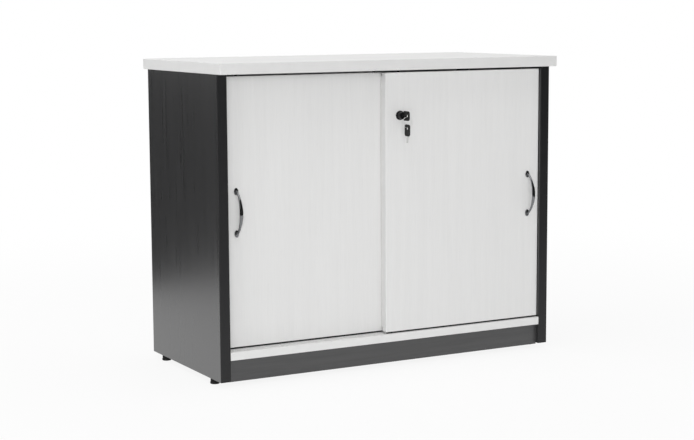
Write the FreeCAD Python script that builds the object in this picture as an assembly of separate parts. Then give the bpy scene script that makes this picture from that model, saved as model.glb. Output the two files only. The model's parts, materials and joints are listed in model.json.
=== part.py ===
import FreeCAD, Part
import math
import os

from FreeCAD import Vector

# Low office cabinet with two sliding doors, in millimetres. The origin is on the floor under the
# middle of the cabinet with its keys, which reach past the top, so the cabinet is set back a little.
# +Z is up, the doors face -Y, and +X is to the right of someone facing them.

# Whole cabinet
cabinet_width = 900.0
cabinet_depth = 450.0
cabinet_height = 730.0
cabinet_set_back = 7.0

# Boards
top_thickness = 25.0
top_side_overhang = 3.0
top_front_overhang = 27.0
top_back_overhang = 23.0
side_thickness = 25.0
base_thickness = 19.0
kick_height = 48.0
kick_below_sides = 3.0
kick_thickness = 18.0
kick_setback = 11.0
back_thickness = 16.0
back_setback = 2.0
shelf_thickness = 18.0
shelf_end_gap = 0.5
shelf_back_gap = 0.5
shelf_door_gap = 8.0
edge_band_thickness = 2.0
edge_rounding_share = 0.75

# Fits: a still piece in its hole, a turning or sliding piece in its hole, and a wheel on its track
fit_clearance = 0.1
running_clearance = 0.05
rolling_gap = 0.3
same_place = 0.001

# Doors
door_thickness = 18.0
door_setback = 7.0
door_spacing = 8.0
door_overlap = 28.0
door_end_gap = 1.0
door_top_gap = 6.0
door_bottom_gap = 3.5
travel_clearance = 4.0

# Twin tracks let into the base and into the underside of the top
track_thickness = 10.0
track_floor = 1.5
track_groove_width = 8.0
track_margin = 7.0

# Rollers in the bottom edges of the doors
roller_inset = 60.0
axle_height = 5.0
axle_radius = 2.0
wheel_width = 6.0
wheel_side_gap = 0.5
wheel_rim_gap = 1.5
wheel_web_recess = 1.2
wheel_rim_thickness = 3.5
wheel_hub_radius = 5.0
roller_housing_wall = 2.5

# Sprung guides in the top edges of the doors
guide_inset = 40.0
guide_pin_radius = 3.2
guide_tip_gap = 1.0
guide_tip_rounding = 1.5
guide_drop_below_track = 0.5
guide_collar_radius = 4.3
guide_collar_length = 5.0
guide_lip_length = 6.0
guide_sleeve_wall = 1.3
guide_sleeve_floor = 2.0
guide_spring_pressed_length = 9.0
guide_spring_wall = 1.4

# Bow handles
handle_inset = 32.5
handle_rise = 1.0
handle_hole_spacing = 96.0
handle_projection = 31.0
handle_middle_width = 9.0
handle_middle_thickness = 5.5
handle_end_width = 5.0
handle_end_thickness = 4.0
handle_foot_radius = 5.5
handle_neck_radius = 3.6
handle_foot_height = 6.0
handle_section_count = 13
handle_screw_radius = 2.0
handle_screw_bite = 5.0
screw_head_radius = 4.0
screw_head_height = 2.5
screw_slot_width = 1.0
screw_slot_depth = 1.0

# Push lock in the front door
lock_edge_distance = 38.5
lock_below_door_top = 100.5
lock_flange_radius = 11.0
lock_flange_thickness = 2.5
lock_flange_rounding = 1.0
lock_sleeve_wall = 1.5
lock_end_wall = 2.0
lock_end_inset = 0.5
lock_barrel_radius = 8.5
lock_barrel_projection = 12.0
lock_barrel_rounding = 1.2
lock_bolt_radius = 4.0
lock_bolt_rest_recess = 1.0
lock_bolt_tip_clearance = 2.5
lock_spring_pressed_length = 2.0
lock_spring_wall = 1.6
lock_rotor_radius = 5.0
lock_rotor_length = 16.0
lock_rotor_proud = 0.6

# Keys and their ring
key_blade_thickness = 1.8
key_blade_height = 6.0
key_blade_length = 15.0
key_bow_length = 28.0
key_bow_height = 22.5
key_bow_thickness = 2.2
key_bow_corner_radius = 6.0
key_bow_gap = 0.6
key_tang_length = 6.0
key_tip_chamfer = 1.6
key_hole_radius = 3.0
key_hole_edge_distance = 9.5
key_ring_radius = 12.5
key_ring_wire_radius = 0.8
key_hole_rounding_share = 0.45
key_slack = 0.3

# Keeper plate on the leading edge of the rear door
keeper_thickness = 2.5
keeper_height = 32.0
keeper_clearance = 2.0
keeper_screw_radius = 1.5
keeper_screw_head_radius = 3.0
keeper_screw_length = 16.0
keeper_screw_spacing = 18.0

# Shelf pins and their rows of holes
pin_hole_radius = 2.5
pin_hole_depth = 11.0
pin_row_pitch = 32.0
pin_rows_each_way = 4
pin_row_inset = 37.0
pin_spade_length = 9.0
pin_spade_width = 10.0
pin_spade_height = 6.0

# Cam fittings and dowels that hold the boards together
cam_radius = 7.5
cam_depth = 12.5
cam_distance = 24.0
cam_face_offset = 8.0
cam_slot_width = 2.0
cam_slot_depth = 3.0
cam_bolt_radius = 3.0
cam_bolt_anchor_depth = 11.0
dowel_radius = 4.0
dowel_length = 30.0
joint_end_inset = 80.0
joint_dowel_pitch = 32.0
back_joint_inset = 100.0

# Levelling feet under the side panels
foot_height = 14.0
foot_front_inset = 62.0
foot_rear_inset = 52.0
foot_pad_radius = 11.0
foot_pad_height = 5.0
foot_body_radius = 9.8
foot_edge_rounding = 1.5
foot_stem_radius = 4.0
foot_stem_length = 22.0
foot_insert_radius = 6.5
foot_insert_depth = 30.0

X = Vector(1, 0, 0)
Y = Vector(0, 1, 0)
Z = Vector(0, 0, 1)

# Places worked out from the sizes above
edge_rounding = edge_rounding_share * edge_band_thickness
top_bottom = cabinet_height - top_thickness
top_front = cabinet_set_back - cabinet_depth / 2
top_back = top_front + cabinet_depth
side_outer = cabinet_width / 2 - top_side_overhang
side_inner = side_outer - side_thickness
side_front = top_front + top_front_overhang
side_back = top_back - top_back_overhang
base_bottom = foot_height + kick_height
base_top = base_bottom + base_thickness
kick_front = side_front + kick_setback
kick_bottom = foot_height - kick_below_sides
back_rear = side_back - back_setback
back_front = back_rear - back_thickness

door_width = (2 * side_inner - 2 * door_end_gap + door_overlap) / 2
door_bottom = base_top + door_bottom_gap
door_top = top_bottom - door_top_gap
front_door_face = side_front + door_setback
rear_door_face = front_door_face + door_thickness + door_spacing
rear_door_back = rear_door_face + door_thickness
right_door_left_edge = side_inner - door_end_gap - door_width
left_door_left_edge = -side_inner + door_end_gap
handle_middle_height = (door_bottom + door_top) / 2 + handle_rise

track_front = front_door_face + door_thickness / 2 - track_groove_width / 2 - track_margin
track_back = rear_door_face + door_thickness / 2 + track_groove_width / 2 + track_margin
track_groove_depth = track_thickness - track_floor

wheel_tread = base_top - track_groove_depth + rolling_gap
axle_place = door_bottom + axle_height
wheel_radius = axle_place - wheel_tread
guide_travel = track_groove_depth - guide_tip_gap + guide_drop_below_track
guide_spring_length = guide_travel + guide_spring_pressed_length

shelf_front = rear_door_back + shelf_door_gap
shelf_back = back_front - shelf_back_gap
shelf_bottom = (base_top + top_bottom - shelf_thickness) / 2
shelf_top = shelf_bottom + shelf_thickness

lock_x = right_door_left_edge + lock_edge_distance
lock_z = door_top - lock_below_door_top
lock_travel = lock_bolt_rest_recess + door_spacing - lock_bolt_tip_clearance


def block(low, high):
    """Box between two opposite corners."""
    size = Vector(*high) - Vector(*low)
    return Part.makeBox(size.x, size.y, size.z, Vector(*low))


def rod(start, direction, radius, length):
    """Cylinder from a point along a unit direction."""
    return Part.makeCylinder(radius, length, start, direction)


def tube(start, direction, outer, inner, length):
    """Hollow cylinder with both ends open."""
    return rod(start, direction, outer, length).cut(rod(start, direction, inner, length))


def round_edges(shape, radius, chosen):
    """Fillet the edges that a test picks out."""
    return shape.makeFillet(radius, [edge for edge in shape.Edges if chosen(edge)])


def lies_at(edge, axis, value):
    """True if a whole edge lies in one plane square to an axis."""
    return all(abs(corner.Point[axis] - value) < same_place for corner in edge.Vertexes)


def banded_board(low, high, across, sides):
    """Board core and the edge strips glued to it, with rounded outer edges.

    across is the axis of the board's thickness, and each side is an axis and the end of it (0 low,
    1 high). Strips run through in the order given, and later ones butt against earlier ones.
    """
    whole = [list(low), list(high)]
    core = [list(low), list(high)]
    for axis, end in sides:
        core[end][axis] += edge_band_thickness if end == 0 else -edge_band_thickness

    def wants_rounding(edge):
        touched = [side for side in sides if lies_at(edge, side[0], whole[side[1]][side[0]])]
        along_thickness = not any(lies_at(edge, across, level[across]) for level in whole)
        return len(touched) > 1 if along_thickness else bool(touched)

    rounded = round_edges(block(low, high), edge_rounding, wants_rounding)
    strips = []
    unbanded = [list(low), list(high)]
    for axis, end in sides:
        strip = [list(unbanded[0]), list(unbanded[1])]
        strip[1 - end][axis] = core[end][axis]
        strips.append(rounded.common(block(strip[0], strip[1])))
        unbanded[end][axis] = core[end][axis]
    return block(core[0], core[1]), strips


def carcass_boards():
    """The boards of the cabinet with their strips, before anything is drilled."""
    boards = {}
    strips = {}
    boards["top_panel"], strips["top_edge_bands"] = banded_board(
        (-cabinet_width / 2, top_front, top_bottom),
        (cabinet_width / 2, top_back, cabinet_height),
        2,
        [(1, 0), (1, 1), (0, 0), (0, 1)],
    )
    strips["side_edge_bands"] = []
    for name, low_x in (("left_side_panel", -side_outer), ("right_side_panel", side_inner)):
        boards[name], bands = banded_board(
            (low_x, side_front, foot_height),
            (low_x + side_thickness, side_back, top_bottom),
            0,
            [(1, 0)],
        )
        strips["side_edge_bands"] += bands
    boards["base_panel"], strips["base_edge_band"] = banded_board(
        (-side_inner, side_front, base_bottom), (side_inner, back_front, base_top), 2, [(1, 0)]
    )
    boards["shelf"], strips["shelf_edge_band"] = banded_board(
        (-side_inner + shelf_end_gap, shelf_front, shelf_bottom),
        (side_inner - shelf_end_gap, shelf_back, shelf_top),
        2,
        [(1, 0)],
    )
    boards["kickboard"] = block(
        (-side_inner, kick_front, kick_bottom),
        (side_inner, kick_front + kick_thickness, base_bottom),
    )
    boards["back_panel"] = block(
        (-side_inner, back_front, foot_height), (side_inner, back_rear, top_bottom)
    )
    return boards, strips


def drill(boards, name, tool):
    """Take a tool's shape out of one board."""
    boards[name] = boards[name].cut(tool)


def side_name(hand):
    """Name of the side panel on one hand, -1 for left and 1 for right."""
    return "left_side_panel" if hand < 0 else "right_side_panel"


def board_joints():
    """Where boards meet: anchor board, cam board, point, direction, cam direction, dowel or not."""
    depths = (side_front + joint_end_inset, side_back - joint_end_inset)
    dowel_depths = (depths[0] + joint_dowel_pitch, depths[1] - joint_dowel_pitch)
    heights = (foot_height + back_joint_inset, top_bottom - back_joint_inset)
    dowel_heights = (heights[0] + joint_dowel_pitch, heights[1] - joint_dowel_pitch)
    back_place = back_rear - cam_face_offset
    kick_place = kick_front + kick_thickness - cam_face_offset
    found = []
    for hand in (-1, 1):
        side = side_name(hand)
        inner = hand * side_inner
        inward = X * -hand
        for places, dowel in ((depths, False), (dowel_depths, True)):
            for y in places:
                corner = Vector(hand * (side_inner + cam_face_offset), y, top_bottom)
                found.append(("top_panel", side, corner, -Z, X * hand, dowel))
                corner = Vector(inner, y, base_bottom + cam_face_offset)
                found.append((side, "base_panel", corner, inward, Z, dowel))
        for places, dowel in ((heights, False), (dowel_heights, True)):
            for z in places:
                corner = Vector(inner, back_place, z)
                found.append((side, "back_panel", corner, inward, -Y, dowel))
        corner = Vector(inner, kick_place, (kick_bottom + base_bottom) / 2)
        found.append((side, "kickboard", corner, inward, -Y, False))
    return found


def join_boards(boards):
    """Drill the boards and make the cams, cam bolts and dowels that hold them together."""
    cams = []
    bolts = []
    dowels = []
    for anchor, held, corner, into, cam_way, dowel in board_joints():
        if dowel:
            start = corner - into * (dowel_length / 2)
            dowels.append(rod(start, into, dowel_radius, dowel_length))
            hole = rod(start, into, dowel_radius + fit_clearance, dowel_length)
            drill(boards, anchor, hole)
            drill(boards, held, hole)
            continue
        start = corner - into * cam_bolt_anchor_depth
        reach = cam_bolt_anchor_depth + cam_distance
        bolts.append(rod(start, into, cam_bolt_radius, reach))
        hole = rod(start, into, cam_bolt_radius + fit_clearance, reach)
        drill(boards, anchor, hole)
        drill(boards, held, hole)
        mouth = corner + into * cam_distance - cam_way * cam_face_offset
        drill(boards, held, rod(mouth, cam_way, cam_radius + fit_clearance, cam_depth))
        cam = rod(mouth, cam_way, cam_radius, cam_depth).cut(hole)
        slot_way = into.cross(cam_way)
        across = into * (cam_slot_width / 2)
        low = mouth - across - slot_way * cam_radius
        high = mouth + across + slot_way * cam_radius + cam_way * cam_slot_depth
        corners = [[min(a, b) for a, b in zip(low, high)], [max(a, b) for a, b in zip(low, high)]]
        cams.append(cam.cut(block(corners[0], corners[1])))
    return cams, bolts, dowels


def lay_tracks(boards):
    """Twin-groove tracks let into the base and into the underside of the top."""
    door_lines = (front_door_face + door_thickness / 2, rear_door_face + door_thickness / 2)
    tracks = []
    for name, low, mouth, floor in (
        ("base_panel", base_top - track_thickness, base_top, base_top - track_groove_depth),
        ("top_panel", top_bottom, top_bottom, top_bottom + track_groove_depth),
    ):
        bed = block((-side_inner, track_front, low), (side_inner, track_back, low + track_thickness))
        drill(boards, name, bed)
        track = bed
        for line in door_lines:
            track = track.cut(
                block(
                    (-side_inner, line - track_groove_width / 2, min(mouth, floor)),
                    (side_inner, line + track_groove_width / 2, max(mouth, floor)),
                )
            )
        tracks.append(track)
    return tracks


def hang_shelf(boards):
    """Rows of pin holes in the sides, and the four pins that carry the shelf."""
    pins = []
    pin_height = shelf_bottom - pin_spade_height / 2
    for hand in (-1, 1):
        inner = hand * side_inner
        for y in (shelf_front + pin_row_inset, shelf_back - pin_row_inset):
            for row in range(-pin_rows_each_way, pin_rows_each_way + 1):
                mouth = Vector(inner, y, pin_height + row * pin_row_pitch)
                drill(boards, side_name(hand), rod(mouth, X * hand, pin_hole_radius, pin_hole_depth))
            mouth = Vector(inner, y, pin_height)
            peg = rod(mouth, X * hand, pin_hole_radius - fit_clearance, pin_hole_depth)
            ends = sorted((inner, inner - hand * pin_spade_length))
            spade = block(
                (ends[0], y - pin_spade_width / 2, pin_height - pin_spade_height / 2),
                (ends[1], y + pin_spade_width / 2, pin_height + pin_spade_height / 2),
            )
            pins.append(peg.fuse(spade).removeSplitter())
    return pins


def foot_places():
    """Middle of each foot, by name."""
    line = side_inner + side_thickness / 2
    front = side_front + foot_front_inset
    rear = side_back - foot_rear_inset
    return {
        "front_left_foot": Vector(-line, front, 0),
        "front_right_foot": Vector(line, front, 0),
        "rear_left_foot": Vector(-line, rear, 0),
        "rear_right_foot": Vector(line, rear, 0),
    }


def make_feet(boards):
    """Levelling feet whose stems turn in inserts pressed into the side panels."""
    feet = {}
    inserts = []
    for name, place in foot_places().items():
        pad = rod(place, Z, foot_pad_radius, foot_pad_height)
        pad = round_edges(pad, foot_edge_rounding, lambda edge: len(edge.Vertexes) == 1)
        body = rod(place, Z, foot_body_radius, foot_height)
        stem = rod(place, Z, foot_stem_radius, foot_height + foot_stem_length)
        feet[name] = pad.fuse([body, stem]).removeSplitter()
        under = Vector(place.x, place.y, foot_height)
        bore = rod(under, Z, foot_insert_radius + fit_clearance, foot_insert_depth)
        drill(boards, side_name(place.x), bore)
        inserts.append(
            tube(
                under,
                Z,
                foot_insert_radius,
                foot_stem_radius + running_clearance,
                foot_insert_depth,
            )
        )
    return feet, inserts


def bow_handle(x, face):
    """Arched handle on two small feet, standing out of a door's face towards -Y."""
    half = handle_hole_spacing / 2
    start_out = handle_foot_height - handle_end_thickness / 2
    middle_out = handle_projection - handle_middle_thickness / 2
    rise = middle_out - start_out
    arc_radius = (half * half + rise * rise) / (2 * rise)
    arc_centre = middle_out - arc_radius
    half_turn = math.asin(half / arc_radius)
    sections = []
    last = handle_section_count - 1
    for step in range(handle_section_count):
        along_share = 2 * step / last - 1
        turn = half_turn * along_share
        swell_share = math.cos(along_share * math.pi / 2) ** 2
        width = handle_end_width + (handle_middle_width - handle_end_width) * swell_share
        thick = handle_end_thickness + (handle_middle_thickness - handle_end_thickness) * swell_share
        out = arc_centre + arc_radius * math.cos(turn)
        place = Vector(x, face - out, handle_middle_height + arc_radius * math.sin(turn))
        tangent = Vector(0, math.sin(turn), math.cos(turn))
        outline = Part.Ellipse(Vector(0, 0, 0), width / 2, thick / 2).toShape()
        outline.Placement = FreeCAD.Placement(
            place, FreeCAD.Rotation(X, tangent.cross(X), tangent, "ZXY")
        )
        sections.append(Part.Wire([outline]))
    handle = Part.makeLoft(sections, True)
    screws = []
    holes = []
    for end in (-1, 1):
        z = handle_middle_height + end * half
        foot = Part.makeCone(
            handle_foot_radius, handle_neck_radius, handle_foot_height, Vector(x, face, z), -Y
        )
        handle = handle.fuse(foot)
        head = Vector(x, face + door_thickness, z)
        shaft_length = door_thickness + handle_screw_bite
        screw = rod(head, -Y, handle_screw_radius, shaft_length)
        screw = screw.fuse(rod(head, Y, screw_head_radius, screw_head_height)).removeSplitter()
        slot_top = head.y + screw_head_height
        slot = block(
            (x - screw_head_radius, slot_top - screw_slot_depth, z - screw_slot_width / 2),
            (x + screw_head_radius, slot_top, z + screw_slot_width / 2),
        )
        screws.append(screw.cut(slot))
        holes.append(rod(head, -Y, handle_screw_radius + fit_clearance, shaft_length))
    for hole in holes:
        handle = handle.cut(hole)
    return handle.removeSplitter(), screws, holes


def roller(x, line):
    """Housing, wheel and axle of one roller, and the mortise that the housing needs."""
    half_long = wheel_radius + wheel_rim_gap + roller_housing_wall
    half_slot = wheel_width / 2 + wheel_side_gap
    half_wide = half_slot + roller_housing_wall
    slot_top = axle_place + wheel_radius + wheel_rim_gap
    housing_low = (x - half_long, line - half_wide, door_bottom)
    housing_high = (x + half_long, line + half_wide, slot_top + roller_housing_wall)
    mortise = block(housing_low, housing_high)
    slot = block(
        (x - half_long + roller_housing_wall, line - half_slot, door_bottom),
        (x + half_long - roller_housing_wall, line + half_slot, slot_top),
    )
    axle_start = Vector(x, line - half_wide, axle_place)
    axle = rod(axle_start, Y, axle_radius, 2 * half_wide)
    housing = mortise.cut(slot).cut(rod(axle_start, Y, axle_radius + fit_clearance, 2 * half_wide))
    wheel_start = Vector(x, line - wheel_width / 2, axle_place)
    wheel = rod(wheel_start, Y, wheel_radius, wheel_width)
    web_outer = wheel_radius - wheel_rim_thickness
    for start in (wheel_start, wheel_start + Y * (wheel_width - wheel_web_recess)):
        wheel = wheel.cut(tube(start, Y, web_outer, wheel_hub_radius, wheel_web_recess))
    wheel = wheel.cut(rod(wheel_start, Y, axle_radius + running_clearance, wheel_width))
    return {"housing": housing, "wheel": wheel, "axle": axle, "mortise": mortise}


def guide(x, line):
    """Sleeve, sprung pin and spring of one top guide, and the bore that the sleeve needs."""
    lip_bottom = door_top - guide_lip_length
    collar_bottom = lip_bottom - guide_collar_length
    spring_bottom = collar_bottom - guide_spring_length
    sleeve_bottom = spring_bottom - guide_sleeve_floor
    pin_top = top_bottom + track_groove_depth - guide_tip_gap
    bore_radius = guide_collar_radius + fit_clearance
    sleeve_radius = bore_radius + guide_sleeve_wall
    foot = Vector(x, line, sleeve_bottom)
    sleeve = rod(foot, Z, sleeve_radius, door_top - sleeve_bottom)
    sleeve = sleeve.cut(rod(Vector(x, line, spring_bottom), Z, bore_radius, lip_bottom - spring_bottom))
    lip = Vector(x, line, lip_bottom)
    sleeve = sleeve.cut(rod(lip, Z, guide_pin_radius + fit_clearance, guide_lip_length))
    seat = Vector(x, line, collar_bottom)
    pin = rod(seat, Z, guide_pin_radius, pin_top - collar_bottom)
    pin = round_edges(pin, guide_tip_rounding, lambda edge: lies_at(edge, 2, pin_top))
    pin = pin.fuse(rod(seat, Z, guide_collar_radius, guide_collar_length)).removeSplitter()
    spring = tube(
        Vector(x, line, spring_bottom),
        Z,
        guide_collar_radius - fit_clearance,
        guide_collar_radius - fit_clearance - guide_spring_wall,
        guide_spring_length,
    )
    bore = rod(foot, Z, sleeve_radius + fit_clearance, door_top - sleeve_bottom)
    return {"sleeve": sleeve, "pin": pin, "spring": spring, "bore": bore}


def sliding_door(name, left_edge, face, handle_x):
    """Every piece of one door, by node name."""
    right_edge = left_edge + door_width
    line = face + door_thickness / 2
    panel, bands = banded_board(
        (left_edge, face, door_bottom),
        (right_edge, face + door_thickness, door_top),
        1,
        [(0, 0), (0, 1), (2, 0), (2, 1)],
    )
    handle, screws, cuts = bow_handle(handle_x, face)
    rollers = {
        "left": roller(left_edge + roller_inset, line),
        "right": roller(right_edge - roller_inset, line),
    }
    guides = {
        "left": guide(left_edge + guide_inset, line),
        "right": guide(right_edge - guide_inset, line),
    }
    cuts = cuts + [made["mortise"] for made in rollers.values()]
    cuts = cuts + [made["bore"] for made in guides.values()]
    for tool in cuts:
        panel = panel.cut(tool)
        bands = [band.cut(tool) for band in bands]
    nodes = {
        name + "_panel": [panel],
        name + "_edge_bands": bands,
        name + "_handle": [handle],
        name + "_handle_screws": screws,
        name + "_roller_housings": [made["housing"] for made in rollers.values()],
        name + "_roller_axles": [made["axle"] for made in rollers.values()],
        name + "_guide_sleeves": [made["sleeve"] for made in guides.values()],
    }
    for end in ("left", "right"):
        nodes[name + "_" + end + "_wheel"] = [rollers[end]["wheel"]]
        nodes[name + "_" + end + "_guide_pin"] = [guides[end]["pin"]]
        nodes[name + "_" + end + "_guide_spring"] = [guides[end]["spring"]]
    return nodes


def push_lock(nodes):
    """Push lock through the front door: housing, sprung barrel with its bolt, and rotor."""
    front = front_door_face - lock_flange_thickness
    door_back = front_door_face + door_thickness
    sleeve_end = door_back - lock_end_inset
    end_wall_face = sleeve_end - lock_end_wall
    bore_radius = lock_barrel_radius + running_clearance
    sleeve_radius = bore_radius + lock_sleeve_wall
    barrel_front = front - lock_barrel_projection
    barrel_back = end_wall_face - lock_spring_pressed_length - lock_travel
    bolt_tip = door_back - lock_bolt_rest_recess

    def at(y):
        return Vector(lock_x, y, lock_z)

    flange = rod(at(front), Y, lock_flange_radius, lock_flange_thickness)
    flange = round_edges(flange, lock_flange_rounding, lambda edge: lies_at(edge, 1, front))
    housing = flange.fuse(rod(at(front_door_face), Y, sleeve_radius, sleeve_end - front_door_face))
    housing = housing.cut(rod(at(front), Y, bore_radius, end_wall_face - front))
    housing = housing.cut(rod(at(front), Y, lock_bolt_radius + running_clearance, sleeve_end - front))
    nodes["lock_housing"] = [housing.removeSplitter()]

    barrel = rod(at(barrel_front), Y, lock_barrel_radius, barrel_back - barrel_front)
    barrel = round_edges(
        barrel, lock_barrel_rounding, lambda edge: lies_at(edge, 1, barrel_front)
    )
    barrel = barrel.fuse(rod(at(barrel_back), Y, lock_bolt_radius, bolt_tip - barrel_back))
    rotor_bore = rod(at(barrel_front), Y, lock_rotor_radius + running_clearance, lock_rotor_length)
    nodes["lock_barrel"] = [barrel.removeSplitter().cut(rotor_bore)]

    spring_radius = lock_barrel_radius - fit_clearance
    nodes["lock_spring"] = [
        tube(
            at(barrel_back),
            Y,
            spring_radius,
            spring_radius - lock_spring_wall,
            end_wall_face - barrel_back,
        )
    ]

    rotor_front = barrel_front - lock_rotor_proud
    rotor = rod(at(rotor_front), Y, lock_rotor_radius, lock_rotor_length + lock_rotor_proud)
    half_way = key_blade_thickness / 2 + fit_clearance
    half_tall = key_blade_height / 2 + fit_clearance
    keyway = block(
        (lock_x - half_way, rotor_front, lock_z - half_tall),
        (lock_x + half_way, rotor_front + key_blade_length, lock_z + half_tall),
    )
    nodes["lock_rotor"] = [rotor.cut(keyway)]

    hole = rod(at(front_door_face), Y, sleeve_radius + fit_clearance, door_thickness)
    nodes["right_door_panel"] = [nodes["right_door_panel"][0].cut(hole)]
    return rotor_front


def make_key():
    """Key with its blade along +Y from the origin, and its bow standing back along -Y.

    The ring's hole is on the key's own axis, near the far end of the bow.
    """
    half_thick = key_bow_thickness / 2
    half_tall = key_bow_height / 2
    bow_back = -key_bow_gap
    bow_end = bow_back - key_bow_length
    hole_y = bow_end + key_hole_edge_distance
    bow = block((-half_thick, bow_end, -half_tall), (half_thick, bow_back, half_tall))
    faces = (-half_thick, half_thick)
    bow = round_edges(
        bow, key_bow_corner_radius, lambda edge: not any(lies_at(edge, 0, x) for x in faces)
    )
    bow = bow.cut(rod(Vector(-half_thick, hole_y, 0), X, key_hole_radius, key_bow_thickness))
    bow = round_edges(
        bow, key_hole_rounding_share * key_bow_thickness, lambda edge: len(edge.Vertexes) == 1
    )

    half_blade = key_blade_thickness / 2
    half_high = key_blade_height / 2
    tang_end = bow_back - key_tang_length
    blade = block((-half_blade, tang_end, -half_high), (half_blade, key_blade_length, half_high))
    tip = key_blade_length
    tip_edges = [edge for edge in blade.Edges if lies_at(edge, 1, tip)]
    levels = (-half_high, half_high)
    cut_edges = [edge for edge in tip_edges if any(lies_at(edge, 2, z) for z in levels)]
    blade = blade.makeChamfer(key_tip_chamfer, cut_edges)
    pocket = block(
        (-half_blade - fit_clearance, tang_end - fit_clearance, -half_high - fit_clearance),
        (half_blade + fit_clearance, bow_back, half_high + fit_clearance),
    )
    return blade, bow.cut(pocket), hole_y


def hang_keys(nodes, rotor_front):
    """Key in the lock, the ring through its bow, and the spare key that hangs from the ring."""
    blade, bow, hole_y = make_key()
    keyhole = Vector(lock_x, rotor_front, lock_z)
    nodes["lock_key_blade"] = [blade.translated(keyhole)]
    nodes["lock_key_bow"] = [bow.translated(keyhole)]
    eye = Vector(lock_x, rotor_front + hole_y, lock_z)
    bow_rim = eye - Z * (key_hole_radius + key_bow_thickness / 2)
    ring_top = bow_rim + Z * (key_bow_thickness / 2 + key_slack + key_ring_wire_radius)
    ring_middle = ring_top - Z * key_ring_radius
    nodes["key_ring"] = [Part.makeTorus(key_ring_radius, key_ring_wire_radius, ring_middle, Y)]
    ring_foot = ring_middle - Z * key_ring_radius
    spare_eye = ring_foot - Z * (key_hole_radius - key_ring_wire_radius - key_slack)
    hang = FreeCAD.Rotation(X, -90)
    place = FreeCAD.Placement(spare_eye - hang.multVec(Vector(0, hole_y, 0)), hang)
    for name, piece in (("spare_key_blade", blade), ("spare_key_bow", bow)):
        hung = piece.copy()
        hung.Placement = place
        nodes[name] = [hung]
    return {"bow_rim": bow_rim, "ring_foot": ring_foot}


def fit_keeper(nodes):
    """Plate on the rear door's leading edge that the pushed lock bolt stands in front of."""
    edge = left_door_left_edge + door_width
    lip = rear_door_face - door_spacing + keeper_clearance
    plate = block(
        (edge, lip, lock_z - keeper_height / 2),
        (edge + keeper_thickness, rear_door_back, lock_z + keeper_height / 2),
    )
    screws = []
    for end in (-1, 1):
        z = lock_z + end * keeper_screw_spacing / 2
        head = Vector(edge + keeper_thickness, rear_door_face + door_thickness / 2, z)
        sink = Part.makeCone(
            keeper_screw_head_radius, keeper_screw_radius, keeper_thickness, head, -X
        )
        screw = sink.fuse(rod(head, -X, keeper_screw_radius, keeper_screw_length)).removeSplitter()
        screws.append(screw)
        plate = plate.cut(screw)
        hole = rod(head, -X, keeper_screw_radius + fit_clearance, keeper_screw_length)
        nodes["left_door_panel"] = [nodes["left_door_panel"][0].cut(hole)]
        nodes["left_door_edge_bands"] = [
            band.cut(hole) for band in nodes["left_door_edge_bands"]
        ]
    nodes["lock_keeper"] = [plate]
    nodes["lock_keeper_screws"] = screws


def build():
    """All nodes of the cabinet, each a list of solids, and the places that its joints turn on."""
    boards, nodes = carcass_boards()
    bottom_track, top_track = lay_tracks(boards)
    nodes["bottom_track"] = [bottom_track]
    nodes["top_track"] = [top_track]
    nodes["cam_housings"], nodes["cam_bolts"], nodes["wood_dowels"] = join_boards(boards)
    nodes["shelf_pins"] = hang_shelf(boards)
    feet, nodes["foot_inserts"] = make_feet(boards)
    nodes.update({name: [board] for name, board in boards.items()})
    nodes.update({name: [foot] for name, foot in feet.items()})
    left_handle_x = left_door_left_edge + handle_inset
    right_handle_x = right_door_left_edge + door_width - handle_inset
    nodes.update(sliding_door("left_door", left_door_left_edge, rear_door_face, left_handle_x))
    nodes.update(sliding_door("right_door", right_door_left_edge, front_door_face, right_handle_x))
    rotor_front = push_lock(nodes)
    places = hang_keys(nodes, rotor_front)
    fit_keeper(nodes)
    handle_reach = max(handle_middle_width / 2, handle_foot_radius)
    places["door_travel"] = right_door_left_edge - left_handle_x - handle_reach - travel_clearance
    return nodes, places


def export(nodes):
    """One STEP file for each node."""
    os.makedirs("parts", exist_ok=True)
    for name, solids in nodes.items():
        for solid in solids:
            assert solid.isValid() and len(solid.Solids) == 1, name
        shape = solids[0] if len(solids) == 1 else Part.makeCompound(solids)
        shape.exportStep("parts/" + name + ".step")


nodes, places = build()
export(nodes)
print(len(nodes), "nodes,", sum(len(solids) for solids in nodes.values()), "solids")
print("door width", door_width, "travel", places["door_travel"], "wheel radius", wheel_radius)
print("guide pin travel", guide_travel)
print("lock at", lock_x, lock_z, "travel", lock_travel)
print("key ring turns at", places["bow_rim"], "spare key swings at", places["ring_foot"])
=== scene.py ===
# %% [markdown]
# # A low office cabinet with two sliding doors
#
# The cabinet was drawn as solids first: boards, edging strips, tracks and every small fitting, in
# metres, with the floor at zero and the doors facing -Y. That drawing is loaded here as a fixed
# frame. Blender adds what the eye meets first: the melamine and its grain, the polished handles, the
# lock with its keys, and the studio around them. The size of the drawing is kept.

# %% Load the frame
import json
import math

import bmesh
import bpy
from mathutils import Matrix, Vector


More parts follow.
